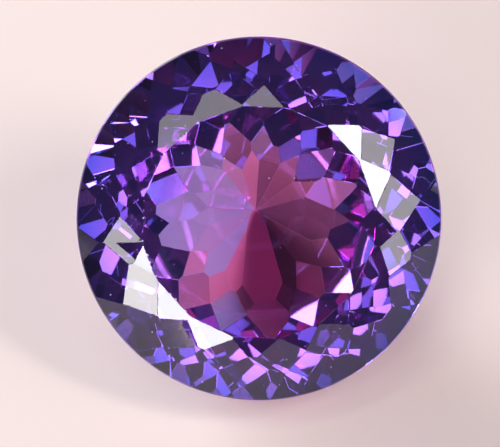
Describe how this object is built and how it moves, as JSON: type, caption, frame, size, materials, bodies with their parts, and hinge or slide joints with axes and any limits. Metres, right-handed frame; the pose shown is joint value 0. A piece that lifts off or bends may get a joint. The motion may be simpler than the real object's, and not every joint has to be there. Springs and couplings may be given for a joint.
{
  "type": "faceted gemstone",
  "caption": "Round faceted violet gemstone with a flat table, kite-shaped facets on crown and pavilion and a thin girdle, lying loose.",
  "frame": {"origin": "middle of the bounding box's underside, on the surface that the stone lies on", "axes": "-Z into the surface, out of the facet that the stone lies on; the table faces up and towards -Y, leaning 30.6 degrees from level; +X across the stone's full width"},
  "size_m": [0.022, 0.0192, 0.0139],
  "materials": {
    "gem": "polished"
  },
  "bodies": {
    "root": {"gemstone": "gem"}
  },
  "joints": []
}
